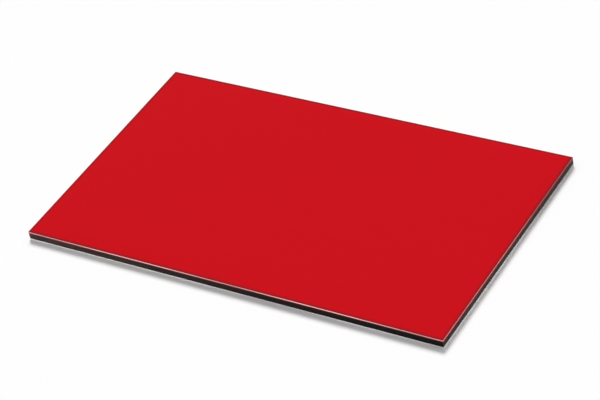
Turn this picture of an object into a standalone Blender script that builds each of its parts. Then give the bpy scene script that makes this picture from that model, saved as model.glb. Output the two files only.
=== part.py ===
"""Aluminium composite panel: a sample cut from facade sheet, lying flat with its painted face up.

Two thin aluminium skins are bonded by adhesive films to a black polyethylene core. The laminate is
sawn to size after bonding, so every layer runs out to all four edges and shows there.

Metres, +Z up. The origin is the centre of the underside, and +X runs along the longer edges.
"""

import math

import bmesh
import bpy

# Outline of the cut sheet
PANEL_LENGTH = 0.200
PANEL_WIDTH = 0.120

# The four corners are broken with a file, through all the layers at once.
CORNER_RADIUS = 0.0003
CORNER_SEGMENTS = 4

# Build-up of the laminate. The core fills what the skins and the bond lines leave.
PANEL_THICKNESS = 0.004
SKIN_THICKNESS = 0.0005
BOND_LINE = 0.00005

# Film and neighbours lie face to face. The bond line holds this much play on each side of its film.
FILM_CLEARANCE = 0.000002

# The saw and a light deburring round the outer edge of each skin.
ARRIS_RADIUS = 0.00012
ARRIS_SEGMENTS = 4

COLLECTION_NAME = "aluminium_composite_panel"


def clear_scene():
    for obj in list(bpy.data.objects):
        bpy.data.objects.remove(obj, do_unlink=True)


def new_collection(name):
    collection = bpy.data.collections.new(name)
    bpy.context.scene.collection.children.link(collection)
    return collection


def new_material(name, colour, roughness, metallic):
    material = bpy.data.materials.new(name)
    material.use_nodes = True
    shader = material.node_tree.nodes["Principled BSDF"]
    shader.inputs["Base Color"].default_value = (*colour, 1.0)
    shader.inputs["Roughness"].default_value = roughness
    shader.inputs["Metallic"].default_value = metallic
    material.diffuse_color = (*colour, 1.0)
    return material


def red_coil_coat():
    return new_material("red_coil_coat", (0.597, 0.008, 0.014), roughness=0.35, metallic=0.0)


def pale_service_coat():
    return new_material("pale_service_coat", (0.62, 0.64, 0.65), roughness=0.5, metallic=0.0)


def cut_aluminium():
    return new_material("cut_aluminium", (0.86, 0.86, 0.87), roughness=0.35, metallic=1.0)


def black_polyethylene():
    return new_material("black_polyethylene", (0.018, 0.017, 0.015), roughness=0.55, metallic=0.0)


def adhesive_film():
    return new_material("adhesive_film", (0.08, 0.076, 0.068), roughness=0.4, metallic=0.0)


def break_corners(blank):
    """Rounds the four upright edges of a sheet."""
    upright = [edge for edge in blank.edges if edge.verts[0].co.xy == edge.verts[1].co.xy]
    bmesh.ops.bevel(
        blank,
        geom=upright,
        affect="EDGES",
        offset=CORNER_RADIUS,
        segments=CORNER_SEGMENTS,
        profile=0.5,
    )


def sheet(name, bottom, top, collection):
    """A flat sheet of the panel's outline between two heights, with its origin at its centre."""
    blank = bmesh.new()
    bmesh.ops.create_cube(blank, size=1.0)
    bmesh.ops.scale(blank, vec=(PANEL_LENGTH, PANEL_WIDTH, top - bottom), verts=blank.verts)
    break_corners(blank)
    mesh = bpy.data.meshes.new(name)
    blank.to_mesh(mesh)
    blank.free()
    layer = bpy.data.objects.new(name, mesh)
    layer.location = (0.0, 0.0, (bottom + top) / 2)
    collection.objects.link(layer)
    return layer


def shade_by_angle(layer):
    layer.data.shade_smooth()
    layer.data.set_sharp_from_angle(angle=math.radians(40.0))


def paint_outer_face(skin, outward, coat, metal):
    """Coats the outer face; the cut edges and the bonded face stay bare metal."""
    mesh = skin.data
    mesh.materials.append(metal)
    mesh.materials.append(coat)
    outer_face = max(mesh.polygons, key=lambda face: face.center.z * outward)
    outer_face.material_index = mesh.materials.find(coat.name)


def round_arris(skin, outward, finish):
    """Rounds the edge that frames the skin's outer face, and gives the round this finish."""
    mesh = skin.data
    weights = mesh.attributes.new("bevel_weight_edge", "FLOAT", "EDGE")
    for edge in mesh.edges:
        frames_outer_face = all(mesh.vertices[i].co.z * outward > 0 for i in edge.vertices)
        weights.data[edge.index].value = float(frames_outer_face)
    arris = skin.modifiers.new("arris", "BEVEL")
    arris.limit_method = "WEIGHT"
    arris.width = ARRIS_RADIUS
    arris.segments = ARRIS_SEGMENTS
    arris.material = mesh.materials.find(finish.name)
    arris.harden_normals = True


def make_skin(name, bottom, outward, coat, metal, arris_finish, collection):
    """One aluminium sheet; outward is +1 where its painted face looks up and -1 where it looks down."""
    skin = sheet(name, bottom, bottom + SKIN_THICKNESS, collection)
    paint_outer_face(skin, outward, coat, metal)
    shade_by_angle(skin)
    round_arris(skin, outward, arris_finish)
    return skin


def make_bond_film(name, bond_line_bottom, material, collection):
    film_bottom = bond_line_bottom + FILM_CLEARANCE
    film_top = bond_line_bottom + BOND_LINE - FILM_CLEARANCE
    film = sheet(name, film_bottom, film_top, collection)
    film.data.materials.append(material)
    shade_by_angle(film)
    return film


def make_core(bottom, top, material, collection):
    core = sheet("core", bottom, top, collection)
    core.data.materials.append(material)
    shade_by_angle(core)
    return core


def build_panel():
    """The laminate, from the back skin up.

    The saw comes down through the front. It draws the paint over the front arris, and bares the back one.
    """
    collection = new_collection(COLLECTION_NAME)
    front_coat = red_coil_coat()
    back_coat = pale_service_coat()
    metal = cut_aluminium()
    film = adhesive_film()

    core_bottom = SKIN_THICKNESS + BOND_LINE
    front_skin_bottom = PANEL_THICKNESS - SKIN_THICKNESS
    core_top = front_skin_bottom - BOND_LINE

    make_skin("back_skin", 0.0, -1, back_coat, metal, metal, collection)
    make_bond_film("back_bond_film", SKIN_THICKNESS, film, collection)
    make_core(core_bottom, core_top, black_polyethylene(), collection)
    make_bond_film("front_bond_film", core_top, film, collection)
    make_skin("front_skin", front_skin_bottom, 1, front_coat, metal, front_coat, collection)


def main():
    clear_scene()
    build_panel()


main()
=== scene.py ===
"""Looks of a sawn sample of aluminium composite panel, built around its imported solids.

The two aluminium sheets and the plastic core are made again as finer meshes that carry the marks of
the saw on their cut edges. The adhesive films keep their solids. Everything is in metres.
"""

import math
from typing import NamedTuple

import bmesh
import bpy
from mathutils import Matrix, Vector, noise


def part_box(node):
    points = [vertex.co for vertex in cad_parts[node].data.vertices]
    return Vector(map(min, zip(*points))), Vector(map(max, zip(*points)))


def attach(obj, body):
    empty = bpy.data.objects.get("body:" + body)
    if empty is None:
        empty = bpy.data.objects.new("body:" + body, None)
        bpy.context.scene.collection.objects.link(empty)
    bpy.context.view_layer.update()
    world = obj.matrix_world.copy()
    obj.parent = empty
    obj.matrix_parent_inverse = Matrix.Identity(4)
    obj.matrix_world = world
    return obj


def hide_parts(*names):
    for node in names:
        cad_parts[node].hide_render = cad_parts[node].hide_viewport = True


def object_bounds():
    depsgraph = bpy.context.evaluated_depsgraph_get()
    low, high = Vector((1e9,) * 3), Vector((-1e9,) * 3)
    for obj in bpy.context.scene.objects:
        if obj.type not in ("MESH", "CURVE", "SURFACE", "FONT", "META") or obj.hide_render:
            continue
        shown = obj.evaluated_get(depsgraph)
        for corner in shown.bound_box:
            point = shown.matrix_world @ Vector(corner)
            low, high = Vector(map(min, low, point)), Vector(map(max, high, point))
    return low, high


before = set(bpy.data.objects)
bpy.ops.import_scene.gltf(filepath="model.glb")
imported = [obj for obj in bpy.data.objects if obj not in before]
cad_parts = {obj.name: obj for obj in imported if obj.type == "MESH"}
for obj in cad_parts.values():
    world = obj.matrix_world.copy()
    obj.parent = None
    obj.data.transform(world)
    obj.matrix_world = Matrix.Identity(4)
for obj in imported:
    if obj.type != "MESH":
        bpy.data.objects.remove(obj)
cad_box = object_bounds()

BODY = "root"

# The origin is the centre of the underside, so the upper corner of the box gives these.
HALF_LENGTH, HALF_WIDTH, PANEL_TOP = cad_box[1]

# The photograph's camera: where its middle looks, how far it stands off, and how it is turned.
CAMERA_TARGET = Vector((-0.00042, 0.00129, 0.0))
CAMERA_DISTANCE = 1.00491
CAMERA_AZIMUTH = math.radians(37.041)
CAMERA_ELEVATION = math.radians(38.136)
CAMERA_ROLL = math.radians(-11.563)
CAMERA_LENS = 142.153
CAMERA_SENSOR = 36.0

# Studio light. The three shares add up to 1, so a level white card renders white.
KEY_SHARE = 0.56
KEY_DIRECTION = Vector((-0.343, 0.596, 0.727)).normalized()
KEY_SPREAD = math.radians(22.4)
OVERHEAD_SHARE = 0.33
OVERHEAD_DIRECTION = Vector((0.0, 0.0, 1.0))
OVERHEAD_SPREAD = math.radians(99.0)
SURROUND_SHARE = 1.0 - KEY_SHARE - OVERHEAD_SHARE
FLOOR_HALF_SIZE = 6.0
FLOOR_CLEARANCE = 0.000005

# Rounded edges of the cut sheets. The photograph's corners are a little sharper than the solids' own.
CORNER_RADIUS = 0.00015
CORNER_STEPS = 8
ARRIS_RADIUS = 0.00012
ARRIS_STEPS = 6
SHARP_ANGLE = math.radians(35.0)

# Spacing of the points along a cut edge, and the plain field inside the border of each broad face
STATION_SPACING = 0.00025
BORDER_WIDTH = 0.003
FIELD_CELL = 0.02

# Where rings of points run round the upright part of a cut edge, as shares of its height
SHEET_RINGS = (0.33, 0.67, 1.0)
CORE_RINGS = (0.0, 0.02, 0.1, 0.25, 0.4, 0.5, 0.6, 0.75, 0.9, 0.98, 1.0)

# Marks of the saw in the shape. Depths are measured in from the finished edge. A corner takes no marks,
# and they are whole this many stations away from it.
STATIONS_TO_WHOLE = 10
TOOTH_PITCH = 0.0015
TOOTH_LEAN = 0.35
RIPPLE_SHARE = 0.6
SCORE_WIDTH = 0.0004
SCORE_LENGTH = 0.003
SCORE_SEED = 3.1
WANDER_LENGTH = 0.012
WANDER_SEED = 0.5
METAL_MARK_DEPTH = 0.000006
PLASTIC_MARK_DEPTH = 0.000026
PLASTIC_SPRING_BACK = 0.000012
PLASTIC_HOLLOW = 0.000020

# Marks of the saw in the finish: width and length of the lines, how strong they are, and larger patches
METAL_LINES = (0.00012, 0.0015)
PLASTIC_LINES = (0.00016, 0.0012)
DRAG_LINES = (0.00009, 0.0030)
LINE_BRIGHTNESS = 0.16
LINE_ROUGHNESS = 0.14
LINE_HEIGHT = 0.000006
PLASTIC_HEIGHT = 0.000030
PATCH_SIZE = 0.004
PATCH_BRIGHTNESS = 0.04
PATCH_ROUGHNESS = 0.08

# Blender's noise seldom leaves this range.
NOISE_LOW = 0.3
NOISE_HIGH = 0.7

# The cut edge of each sheet. The blade came down through the painted face: it drew the paint over the
# arris in front, left paint dust on the metal below it, and broke the back coat off. It left the back
# sheet rougher. Along the long cuts it drew black plastic down over it. In the short cuts it bared more
# of the front arris, left more dust, and drew metal up over the lower film and plastic. There the metal
# is duller in the far half, and in the long cuts it is duller where the blade rubbed.
FRONT_EDGE = {
    "paint_reach": 0.00008,
    "bared_at_ends": 0.00004,
    "plastic_smear": 0.0,
    "paint_dust": 0.56,
    "dust_at_ends": 0.80,
    "brightness": 1.00,
    "roughness": 0.56,
    "dull_places": (-0.090, 0.000, 0.088),
    "dulling": 0.36,
    "near_half": 0.68,
    "far_half": 0.34,
}
BACK_EDGE = {
    "paint_reach": 0.00003,
    "bared_at_ends": 0.0,
    "plastic_smear": 0.00011,
    "paint_dust": 0.0,
    "dust_at_ends": 0.0,
    "brightness": 0.90,
    "roughness": 0.82,
    "dull_places": (0.024, 0.100),
    "dulling": 0.22,
    "near_half": 0.90,
    "far_half": 0.63,
}

# How far from a dull place the metal is bright again, and the share of the paint dust that lies even
# where the saw left no line
DULL_REACH = 0.043
DUST_BETWEEN_LINES = 0.4

# The line where one thing was drawn over another: the size of its ragged grains, and how soft it is
DRAWN_GRAIN = 0.0004
DRAWN_SOFTNESS = 0.000006
PAINT_WANDER = 0.00003
SMEAR_WANDER = 0.00005

# Metal that the saw left on the lower film and the first of the plastic above it, in the short cuts
METAL_SMEAR = 0.00020
METAL_SMEAR_NEAR = 0.88
METAL_SMEAR_FAR = 0.42
METAL_SMEAR_GAPS = 0.24

# Below the front sheet the blade dragged paint down over the film and the plastic, in streaks that fade
# out at different lengths. In the short cuts they reach farther.
PAINT_DRAG = 0.00062
PAINT_DRAG_AT_ENDS = 0.00040
SHORTEST_STREAK = 0.15
LONGEST_STREAK = 1.85
PAINT_ON_FILM = 0.8
PAINT_ON_PLASTIC = 0.85

# Painted light: the sawn plastic of the short cuts is paler, in place of the light they catch. On the long
# ones it grows towards the -X end.
PLASTIC_PAINTED_LIGHT_AT_ENDS = 0.58

# How far in from its plane the finish of a short cut begins, and how far in it is whole. Then where its
# near half ends and its far half begins, as shares of half the panel's width.
END_FROM = 0.0003
END_FULL = 0.0001
NEAR_HALF_TO = -0.1
FAR_HALF_FROM = 0.6

# The paint is darker and duller beside the cut, in a margin that fades inward, and most of all towards the
# back left corner. On the arris itself the paint stays bright.
MARGIN_FULL = 0.0005
MARGIN_END = 0.0018
MARGIN_WANDER = 0.0005
MARGIN_GRAIN = 0.0007
MARGIN_STRENGTH = 0.88
MARGIN_LEAN = 0.12
ARRIS_BRIGHT_TO = 0.7 * ARRIS_RADIUS
ARRIS_DARKENED_FROM = 1.2 * ARRIS_RADIUS

# Colours. The red strays by this share of itself, and a mottled colour is given as its darkest and palest.
RED = (0.588, 0.0049, 0.0107)
RED_VARIATION = 0.05
MARGIN_RED = (0.290, 0.0120, 0.0160)
WHITE = (1.0, 1.0, 1.0)
FLOOR_WHITE = (0.99, 0.99, 0.99)
BARE_METAL = (1.0, 1.0, 1.0)
DUSTED_METAL = (1.0, 0.36, 0.38)
DULLED_METAL = (0.0, 0.0, 0.0)
BONDED_METAL = ((0.66, 0.66, 0.62), (0.72, 0.72, 0.68))
SERVICE_GREY = ((0.56, 0.58, 0.59), (0.68, 0.70, 0.71))
MILKY = ((0.05, 0.048, 0.044), (0.10, 0.096, 0.088))
BLACK = (0.004, 0.004, 0.0036)
# The paler colour of the painted light on the sawn plastic
PAINTED_LIGHT_ON_PLASTIC = (0.088, 0.050, 0.045)


class Wire:
    """A shader socket on which arithmetic can be written. Each operation adds a Math node."""

    def __init__(self, finish, socket):
        self.finish = finish
        self.socket = socket

    def sibling(self, output):
        """Another output of the same node."""
        return Wire(self.finish, self.socket.node.outputs[output])

    def between(self, low, high):
        """Low where this is 0, high where it is 1, and in proportion between."""
        return low + (high - low) * self

    def __add__(self, other):
        return self.finish.math("ADD", self, other)

    __radd__ = __add__

    def __sub__(self, other):
        return self.finish.math("SUBTRACT", self, other)

    def __rsub__(self, other):
        return self.finish.math("SUBTRACT", other, self)

    def __mul__(self, other):
        return self.finish.math("MULTIPLY", self, other)

    __rmul__ = __mul__


class Finish:
    """The nodes of one material, or of the world."""

    def __init__(self, owner):
        owner.use_nodes = True
        self.owner = owner
        self.nodes = owner.node_tree.nodes
        self.links = owner.node_tree.links

    def feed(self, socket, value):
        """Links a wire to a socket, or sets the socket's own value."""
        if isinstance(value, Wire):
            self.links.new(value.socket, socket)
        elif socket.type == "RGBA":
            socket.default_value = (*value, 1.0)
        else:
            socket.default_value = value

    def node(self, kind, settings, sockets, output=0):
        """Adds a node: its settings first, then the values or links of its sockets."""
        made = self.nodes.new(kind)
        for name, value in settings.items():
            setattr(made, name, value)
        for key, value in sockets.items():
            self.feed(made.inputs[key], value)
        return Wire(self, made.outputs[output])

    def math(self, operation, *values):
        """The result of a Math node on these values."""
        return self.node("ShaderNodeMath", {"operation": operation}, dict(enumerate(values)))

    def mix(self, factor, first, second):
        """A colour between two, by a factor from 0 to 1."""
        # A Mix node's sockets share their names between kinds of data, so the colours go by number.
        sockets = {0: factor, 6: first, 7: second}
        return self.node("ShaderNodeMix", {"data_type": "RGBA"}, sockets, output=2)

    def step(self, value, low, high):
        """0 where the value is under low, 1 where it is over high, and a smooth rise between."""
        settings = {"interpolation_type": "SMOOTHSTEP"}
        sockets = {"Value": value, "From Min": low, "From Max": high}
        return self.node("ShaderNodeMapRange", settings, sockets)

    def place(self):
        """The point on the object, in metres."""
        return self.node("ShaderNodeTexCoord", {}, {}, output="Object")

    def place_parts(self):
        """The same point as three numbers."""
        x = self.node("ShaderNodeSeparateXYZ", {}, {"Vector": self.place()}, output="X")
        return x, x.sibling("Y"), x.sibling("Z")

    def noise(self, settings, point, detail):
        """Noise spread out to use the whole range from 0 to 1."""
        sockets = {"Vector": point, "Scale": 1.0, "Detail": detail}
        return self.step(self.node("ShaderNodeTexNoise", settings, sockets), NOISE_LOW, NOISE_HIGH)

    def grain(self, length, width=None, height=None, detail=2.0):
        """Noise in cells of this length, width and height, or in cubes where only the length is given."""
        cell = (length, width or length, height or length)
        scale = tuple(1.0 / size for size in cell)
        stretched = self.node("ShaderNodeMapping", {}, {"Vector": self.place(), "Scale": scale})
        return self.noise({}, stretched, detail)

    def saw_lines(self, width, length, detail=3.0):
        """Noise drawn out up the cut edge along the path of the teeth."""
        x, y, z = self.place_parts()
        across = (x + y + TOOTH_LEAN * z) * (1.0 / width)
        point = self.node("ShaderNodeCombineXYZ", {}, {"X": across, "Y": z * (1.0 / length)})
        return self.noise({"noise_dimensions": "2D"}, point, detail)

    def relief(self, height):
        """A normal bent by a height in metres."""
        return self.node("ShaderNodeBump", {}, {"Height": height, "Distance": 1.0}, output="Normal")

    def surface(self, **sockets):
        """Sets the material's main shader; an underscore in a name stands for a space."""
        shader = self.nodes["Principled BSDF"]
        for name, value in sockets.items():
            self.feed(shader.inputs[name.replace("_", " ")], value)
        return self.owner


def new_finish(name):
    return Finish(bpy.data.materials.new(name))


def short_edge(finish):
    """1 on the two short cut edges, 0 on the long ones."""
    x, _, _ = finish.place_parts()
    return finish.step(finish.math("ABSOLUTE", x), HALF_LENGTH - END_FROM, HALF_LENGTH - END_FULL)


def near_to_far(finish, near, far):
    """One number in the near half of the panel and another in the far half, with a soft change between."""
    _, y, _ = finish.place_parts()
    return finish.step(y, NEAR_HALF_TO * HALF_WIDTH, FAR_HALF_FROM * HALF_WIDTH).between(near, far)


def dull_patches(finish, places):
    """1 at each of these places along the panel, falling to 0 at DULL_REACH from it."""
    x, _, _ = finish.place_parts()
    away = [finish.math("ABSOLUTE", x - place) for place in places]
    return sum(1.0 - finish.step(distance, 0.0, DULL_REACH) for distance in away)


def drawn_edge(finish, distance, reach, wander):
    """0 up to about this reach, and 1 past it. The line between them is ragged."""
    ragged = finish.grain(DRAWN_GRAIN, detail=3.0)
    return finish.step(distance - wander * (ragged - 0.5), reach - DRAWN_SOFTNESS, reach + DRAWN_SOFTNESS)


def darker_margin(finish):
    """How much darker the paint is: most of all beside the cut, and 0 farther in and on the arris."""
    x, y, _ = finish.place_parts()
    from_end = HALF_LENGTH - finish.math("ABSOLUTE", x)
    from_side = HALF_WIDTH - finish.math("ABSOLUTE", y)
    inset = finish.math("MINIMUM", from_end, from_side)
    ragged = finish.grain(MARGIN_GRAIN)
    margin = 1.0 - finish.step(inset + MARGIN_WANDER * (ragged - 0.5), MARGIN_FULL, MARGIN_END)
    beyond_arris = finish.step(inset, ARRIS_BRIGHT_TO, ARRIS_DARKENED_FROM)
    towards_back_left = MARGIN_STRENGTH + y * (MARGIN_LEAN / HALF_WIDTH) - x * (MARGIN_LEAN / HALF_LENGTH)
    return margin * beyond_arris * towards_back_left


def smeared_metal(finish):
    """How bright the metal is that the saw left on the plastic and the film."""
    whole = near_to_far(finish, METAL_SMEAR_NEAR, METAL_SMEAR_FAR)
    return whole - METAL_SMEAR_GAPS * finish.saw_lines(*PLASTIC_LINES)


def sheet_faces(node, outward):
    """Heights of a sheet's outer face and of its bonded face."""
    low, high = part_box(node)
    return (high.z, low.z) if outward > 0 else (low.z, high.z)


def cut_tone(finish, edge, ends):
    """How much of its brightness the metal keeps along the cut."""
    short_tone = near_to_far(finish, edge["near_half"], edge["far_half"])
    long_tone = 1.0 - edge["dulling"] * dull_patches(finish, edge["dull_places"])
    return ends.between(long_tone, short_tone)


def cut_metal(finish, edge, ends, lines, patches):
    """The colour of the bare cut, with the paint dust on it."""
    bright = edge["brightness"] + LINE_BRIGHTNESS * lines + PATCH_BRIGHTNESS * patches
    dust_and_painted_light = (edge["paint_dust"] + ends * edge["dust_at_ends"]) * lines.between(DUST_BETWEEN_LINES, 1.0)
    dusted = finish.mix(dust_and_painted_light, BARE_METAL, DUSTED_METAL)
    return finish.mix(bright * cut_tone(finish, edge, ends), DULLED_METAL, dusted)


def coated_sheet(finish, node, outward, paint, edge):
    """Paint over an aluminium sheet whose cut edge is bare metal."""
    outer, bonded = sheet_faces(node, outward)
    _, _, z = finish.place_parts()
    ends = short_edge(finish)
    painted_side = (outer - z) * outward + ends * edge["bared_at_ends"]
    bare = drawn_edge(finish, painted_side, edge["paint_reach"], PAINT_WANDER)
    smeared = drawn_edge(finish, (z - bonded) * outward, edge["plastic_smear"], SMEAR_WANDER)
    clean = finish.math("MAXIMUM", ends, smeared)
    lines = finish.saw_lines(*METAL_LINES)
    patches = finish.grain(PATCH_SIZE)
    metal = cut_metal(finish, edge, ends, lines, patches)
    edge_roughness = edge["roughness"] + LINE_ROUGHNESS * lines + PATCH_ROUGHNESS * patches
    return finish.surface(
        Base_Color=finish.mix(bare, paint["colour"], finish.mix(clean, BLACK, metal)),
        Metallic=bare * clean,
        Roughness=bare.between(paint["roughness"], edge_roughness),
        Specular_IOR_Level=paint["gloss"],
        Normal=finish.relief(bare.between(paint["height"], LINE_HEIGHT * lines)),
    )


def red_coil_coat():
    """Even satin paint: a faint orange peel, fainter lines along the coil, and nearly even pigment."""
    finish = new_finish("red_coil_coat")
    coil_lines = finish.grain(0.06, 0.0009, 0.01)
    peel = finish.grain(0.0012, detail=3.0)
    fine = finish.grain(0.00025, detail=3.0)
    deeper = tuple(channel * (1.0 - RED_VARIATION) for channel in RED)
    paler = tuple(channel * (1.0 + RED_VARIATION) for channel in RED)
    # Darker, duller paint in a margin beside the cut
    darkened = darker_margin(finish)
    pigment = finish.mix(0.15 * coil_lines + 0.15 * peel + 0.7 * fine, deeper, paler)
    paint = {
        "colour": finish.mix(darkened, pigment, MARGIN_RED),
        "roughness": 0.36 + 0.06 * peel + 0.06 * fine + 0.1 * darkened,
        "height": 0.000004 * peel + 0.000006 * fine,
        "gloss": 0.03,
    }
    return coated_sheet(finish, "front_skin", 1, paint, FRONT_EDGE)


def service_coat():
    """Thin pale grey lacquer on the back, through which the rolling lines of the metal still show."""
    finish = new_finish("service_coat")
    rolled = finish.grain(0.05, 0.0005, 0.0005, detail=4.0)
    cloud = finish.grain(0.02)
    paint = {
        "colour": finish.mix(0.6 * rolled + 0.4 * cloud, *SERVICE_GREY),
        "roughness": rolled.between(0.42, 0.54),
        "height": 0.000003 * rolled,
        "gloss": 0.4,
    }
    return coated_sheet(finish, "back_skin", -1, paint, BACK_EDGE)


def bonded_aluminium():
    """The pretreated inner face of a sheet, under the adhesive film."""
    finish = new_finish("bonded_aluminium")
    rolled = finish.grain(0.03, 0.0002, 0.0002)
    return finish.surface(
        Base_Color=finish.mix(rolled, *BONDED_METAL),
        Metallic=1.0,
        Roughness=rolled.between(0.45, 0.55),
    )


def dragged_paint(finish, depth, ends):
    """How much paint lies on the plastic at this depth below the film."""
    streaks = finish.saw_lines(*DRAG_LINES, detail=4.0)
    reach = (PAINT_DRAG + ends * PAINT_DRAG_AT_ENDS) * streaks.between(SHORTEST_STREAK, LONGEST_STREAK)
    fading = 1.0 - finish.step(depth, 0.0, reach)
    return PAINT_ON_PLASTIC * fading * streaks.between(0.25, 1.0)


def sawn_polyethylene():
    """Black plastic with a dull sawn edge.

    Painted light makes the short edges paler, and the long ones towards their -X end.
    """
    finish = new_finish("sawn_polyethylene")
    x, _, z = finish.place_parts()
    low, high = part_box("core")
    towards_end = 0.5 - x * (0.5 / HALF_LENGTH)
    ends = short_edge(finish)
    scratches = finish.saw_lines(*PLASTIC_LINES, detail=4.0)
    torn = finish.grain(0.00035, 0.00035, 0.00025, detail=3.0)
    smear = finish.grain(0.009, 0.009, 0.003)
    # Painted light: paler plastic on the short cuts and towards the -X end of the long ones
    dust_and_painted_light = ends.between(towards_end * towards_end, PLASTIC_PAINTED_LIGHT_AT_ENDS)
    streaked = dust_and_painted_light * (0.3 + 0.6 * scratches + 0.3 * torn + 0.5 * smear)
    painted_light_plastic = finish.mix(streaked + 0.05 * scratches, BLACK, PAINTED_LIGHT_ON_PLASTIC)
    painted = finish.mix(dragged_paint(finish, high.z - z, ends), painted_light_plastic, RED)
    metal = ends * (1.0 - drawn_edge(finish, z - low.z, METAL_SMEAR, SMEAR_WANDER))
    return finish.surface(
        Base_Color=finish.mix(metal * smeared_metal(finish), painted, BARE_METAL),
        Roughness=scratches.between(0.46, 0.66),
        Specular_IOR_Level=0.1,
        Normal=finish.relief(PLASTIC_HEIGHT * (0.7 * scratches + 0.3 * torn)),
    )


def adhesive_film():
    """Milky polymer, seen only as a hairline in the cut edge.

    The saw dragged paint over the upper film. It smeared plastic over the lower one, and metal in the
    short cuts.
    """
    finish = new_finish("adhesive_film")
    _, _, z = finish.place_parts()
    upper = finish.math("GREATER_THAN", z, PANEL_TOP / 2.0)
    streaks = finish.grain(0.0006, 0.0006, 0.0001)
    milky = finish.mix(streaks, *MILKY)
    painted = finish.mix(PAINT_ON_FILM * streaks.between(0.7, 1.0), milky, RED)
    smeared = finish.mix(short_edge(finish) * smeared_metal(finish), BLACK, BARE_METAL)
    return finish.surface(
        Base_Color=finish.mix(upper, smeared, painted),
        Roughness=streaks.between(0.4, 0.5),
        Specular_IOR_Level=0.3,
    )


def white_floor():
    finish = new_finish("white_floor")
    return finish.surface(Base_Color=FLOOR_WHITE, Roughness=1.0, Specular_IOR_Level=0.0)


class Station(NamedTuple):
    """A point of the outline."""

    point: Vector
    outward: Vector
    along: float  # how far along the outline, in metres
    marked: float  # how much of the saw's marks it takes: none round a corner, all of them away from one


def corner_stations(centre, first_angle, along):
    """Stations round one corner, anticlockwise from this angle."""
    stations = []
    for step in range(CORNER_STEPS + 1):
        turned = math.radians(90.0) * step / CORNER_STEPS
        outward = Vector((math.cos(first_angle + turned), math.sin(first_angle + turned)))
        gone = CORNER_RADIUS * turned
        stations.append(Station(centre + CORNER_RADIUS * outward, outward, along + gone, 0.0))
    return stations


def side_stations(start, run):
    """Stations along the straight side between this last station of a corner and the next corner."""
    count = round(run / STATION_SPACING)
    ahead = Vector((-start.outward.y, start.outward.x))
    stations = []
    for step in range(1, count):
        gone = run * step / count
        marked = min(1.0, step / STATIONS_TO_WHOLE, (count - step) / STATIONS_TO_WHOLE)
        stations.append(Station(start.point + ahead * gone, start.outward, start.along + gone, marked))
    return stations


def outline_stations(half_length, half_width):
    """The panel's outline, anticlockwise from the near right corner, with the corners as arcs."""
    stations = []
    along = 0.0
    corners = ((1, -1), (1, 1), (-1, 1), (-1, -1))
    for turn, (x_side, y_side) in enumerate(corners):
        centre = Vector((x_side * (half_length - CORNER_RADIUS), y_side * (half_width - CORNER_RADIUS)))
        stations += corner_stations(centre, math.radians(90.0 * turn - 90.0), along)
        corner_end = stations[-1]
        run = 2.0 * ((half_width if turn % 2 == 0 else half_length) - CORNER_RADIUS)
        stations += side_stations(corner_end, run)
        along = corner_end.along + run
    return stations


def zero_to_one(wave):
    """A number from 0 to 1, for one from -1 to 1."""
    return 0.5 + 0.5 * wave


def saw_mark(station, height, depth):
    """How deep the blade cut here: ripples that lean with the teeth, grow and fade, and fine scores."""
    path = station.along + TOOTH_LEAN * height
    ripple = zero_to_one(math.sin(2.0 * math.pi * path / TOOTH_PITCH))
    strength = zero_to_one(noise.noise(Vector((path / WANDER_LENGTH, WANDER_SEED, WANDER_SEED))))
    score = zero_to_one(noise.noise(Vector((path / SCORE_WIDTH, height / SCORE_LENGTH, SCORE_SEED))))
    return station.marked * depth * (RIPPLE_SHARE * strength * ripple + (1.0 - RIPPLE_SHARE) * score)


def add_ring(mesh, stations, inset, height, depth):
    """A loop of points round the outline at one height."""
    ring = []
    for station in stations:
        inward = inset + saw_mark(station, height, depth)
        point = station.point - station.outward * inward
        ring.append(mesh.verts.new((point.x, point.y, height)))
    return ring


def add_band(mesh, first, second):
    """The faces of the cut edge between two rings."""
    for i in range(len(first)):
        j = (i + 1) % len(first)
        face = mesh.faces.new((second[i], second[j], first[j], first[i]))
        face.smooth = True


def even_steps(half, count):
    """Even places from one side of the middle to the other, with this many steps between the ends."""
    return [half * (2.0 * step / count - 1.0) for step in range(count + 1)]


def add_field(mesh, half_length, half_width, height, material_index):
    """The plain middle of a broad face, as a grid.

    Returns its rim, anticlockwise from the near right corner.
    """
    columns = max(1, round(2.0 * half_length / FIELD_CELL))
    rows = max(1, round(2.0 * half_width / FIELD_CELL))
    xs = even_steps(half_length, columns)
    ys = even_steps(half_width, rows)
    grid = [[mesh.verts.new((x, y, height)) for x in xs] for y in ys]
    for r in range(rows):
        for c in range(columns):
            face = mesh.faces.new((grid[r][c], grid[r][c + 1], grid[r + 1][c + 1], grid[r + 1][c]))
            face.material_index = material_index
    right = [grid[r][columns] for r in range(rows)]
    far = [grid[rows][c] for c in range(columns, 0, -1)]
    left = [grid[r][0] for r in range(rows, 0, -1)]
    near = [grid[0][c] for c in range(columns)]
    return right + far + left + near


def add_border(mesh, ring, rim, material_index):
    """Faces between the many points of a ring and the few of a rim inside it."""

    def nearest(vertex):
        return min(range(len(rim)), key=lambda k: (rim[k].co - vertex.co).length)

    held = nearest(ring[0])
    for i in range(len(ring)):
        following = ring[(i + 1) % len(ring)]
        face = mesh.faces.new((ring[i], following, rim[held]))
        face.material_index = material_index
        wanted = nearest(following)
        if wanted != held:
            face = mesh.faces.new((following, rim[wanted], rim[held]))
            face.material_index = material_index
            held = wanted


def add_broad_face(mesh, ring, half_length, half_width, material_index):
    """Closes a ring with a flat face."""
    height = ring[0].co.z
    rim = add_field(mesh, half_length - BORDER_WIDTH, half_width - BORDER_WIDTH, height, material_index)
    add_border(mesh, ring, rim, material_index)


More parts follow.
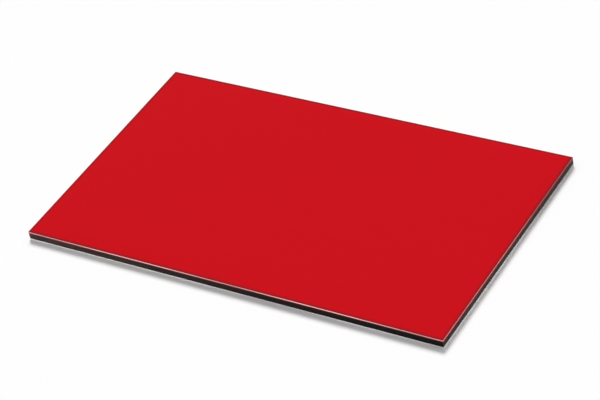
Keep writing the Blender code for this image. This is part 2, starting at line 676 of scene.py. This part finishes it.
def sawn_layer(node, levels, mark_depth, last_material_index=0):
    """A layer of the panel as a mesh: a broad face, the cut edge, and another broad face.

    Each level is the inset and the height of a ring round the cut edge, from the first broad face to
    the last.
    """
    _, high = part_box(node)
    stations = outline_stations(high.x, high.y)
    mesh = bmesh.new()
    rings = [add_ring(mesh, stations, inset, height, mark_depth) for inset, height in levels]
    for first, second in zip(rings, rings[1:]):
        add_band(mesh, first, second)
    add_broad_face(mesh, rings[0], high.x, high.y, 0)
    add_broad_face(mesh, rings[-1], high.x, high.y, last_material_index)
    return mesh


def arris_levels(flat, outward):
    """Insets and heights round the arris, from the broad face at height flat to the cut edge."""
    levels = []
    for step in range(ARRIS_STEPS + 1):
        turn = math.radians(90.0) * step / ARRIS_STEPS
        inset = ARRIS_RADIUS * (1.0 - math.sin(turn))
        height = flat - outward * ARRIS_RADIUS * (1.0 - math.cos(turn))
        levels.append((inset, height))
    return levels


def finished_piece(name, mesh, materials, node):
    """Makes an object of the mesh that stands for a solid, with every face turned outward."""
    bmesh.ops.recalc_face_normals(mesh, faces=mesh.faces)
    data = bpy.data.meshes.new(name)
    mesh.to_mesh(data)
    mesh.free()
    for material in materials:
        data.materials.append(material)
    data.set_sharp_from_angle(angle=SHARP_ANGLE)
    piece = bpy.data.objects.new(name, data)
    bpy.context.scene.collection.objects.link(piece)
    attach(piece, BODY)
    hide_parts(node)


def aluminium_sheet(name, node, outward, coat, inner):
    """One skin: its outer face, the rounded arris, the cut edge, and the bonded face."""
    outer, bonded = sheet_faces(node, outward)
    levels = arris_levels(outer, outward)
    arris_end = levels[-1][1]
    levels += [(0.0, arris_end + (bonded - arris_end) * ring) for ring in SHEET_RINGS]
    mesh = sawn_layer(node, levels, METAL_MARK_DEPTH, last_material_index=1)
    finished_piece(name, mesh, (coat, inner), node)


def plastic_core(name, node, plastic):
    """The core: its sawn edge springs back a little behind the metal, and most of all halfway up."""
    low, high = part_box(node)
    levels = []
    for ring in CORE_RINGS:
        hollow = PLASTIC_HOLLOW * (1.0 - (2.0 * ring - 1.0) ** 2)
        levels.append((PLASTIC_SPRING_BACK + hollow, high.z + (low.z - high.z) * ring))
    mesh = sawn_layer(node, levels, PLASTIC_MARK_DEPTH)
    finished_piece(name, mesh, (plastic,), node)


def dress_film(node, film):
    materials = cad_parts[node].data.materials
    materials.clear()
    materials.append(film)


def dress_panel():
    inner = bonded_aluminium()
    film = adhesive_film()
    aluminium_sheet("front_sheet", "front_skin", 1, red_coil_coat(), inner)
    plastic_core("core_slab", "core", sawn_polyethylene())
    aluminium_sheet("back_sheet", "back_skin", -1, service_coat(), inner)
    dress_film("front_bond_film", film)
    dress_film("back_bond_film", film)


def lay_floor():
    mesh = bmesh.new()
    bmesh.ops.create_grid(mesh, x_segments=1, y_segments=1, size=FLOOR_HALF_SIZE)
    data = bpy.data.meshes.new("floor")
    mesh.to_mesh(data)
    mesh.free()
    data.materials.append(white_floor())
    floor = bpy.data.objects.new("floor", data)
    floor.location.z = cad_box[0].z - FLOOR_CLEARANCE
    bpy.context.scene.collection.objects.link(floor)


def hang_lamp(name, direction, spread, share):
    """A far soft lamp that gives a level card this share of its light, and throws no highlight."""
    lamp = bpy.data.lights.new(name, "SUN")
    lamp.energy = share * math.pi / direction.z
    lamp.angle = spread
    hung = bpy.data.objects.new(name, lamp)
    hung.rotation_mode = "QUATERNION"
    hung.rotation_quaternion = direction.to_track_quat("Z", "Y")
    hung.visible_glossy = False
    bpy.context.scene.collection.objects.link(hung)


def hang_lamps():
    """The key stands behind on the left, and throws the shadow. The wide overhead light fills it."""
    hang_lamp("key", KEY_DIRECTION, KEY_SPREAD, KEY_SHARE)
    hang_lamp("overhead", OVERHEAD_DIRECTION, OVERHEAD_SPREAD, OVERHEAD_SHARE)


def surround_with_white():
    """An even surround that looks white in itself, in metal and through glass, and lights as its share."""
    world = bpy.data.worlds.new("studio")
    bpy.context.scene.world = world
    studio = Finish(world)
    seen = studio.node("ShaderNodeLightPath", {}, {}, output="Is Camera Ray")
    mirrored = studio.math("MAXIMUM", seen.sibling("Is Glossy Ray"), seen.sibling("Is Transmission Ray"))
    shown = studio.math("MAXIMUM", seen, mirrored)
    background = studio.nodes["Background"]
    studio.feed(background.inputs["Color"], WHITE)
    studio.feed(background.inputs["Strength"], shown.between(SURROUND_SHARE, 1.0))


def set_camera():
    data = bpy.data.cameras.new("camera")
    data.lens = CAMERA_LENS
    data.sensor_width = CAMERA_SENSOR
    camera = bpy.data.objects.new("camera", data)
    turn = Matrix.Rotation(CAMERA_AZIMUTH, 3, "Z")
    tilt = Matrix.Rotation(math.radians(90.0) - CAMERA_ELEVATION, 3, "X")
    roll = Matrix.Rotation(CAMERA_ROLL, 3, "Z")
    facing = turn @ tilt @ roll
    camera.location = CAMERA_TARGET + facing @ Vector((0.0, 0.0, CAMERA_DISTANCE))
    camera.rotation_mode = "QUATERNION"
    camera.rotation_quaternion = facing.to_quaternion()
    bpy.context.scene.collection.objects.link(camera)
    bpy.context.scene.camera = camera


bpy.context.scene.view_settings.view_transform = "Standard"
set_camera()
lay_floor()
hang_lamps()
surround_with_white()
dress_panel()
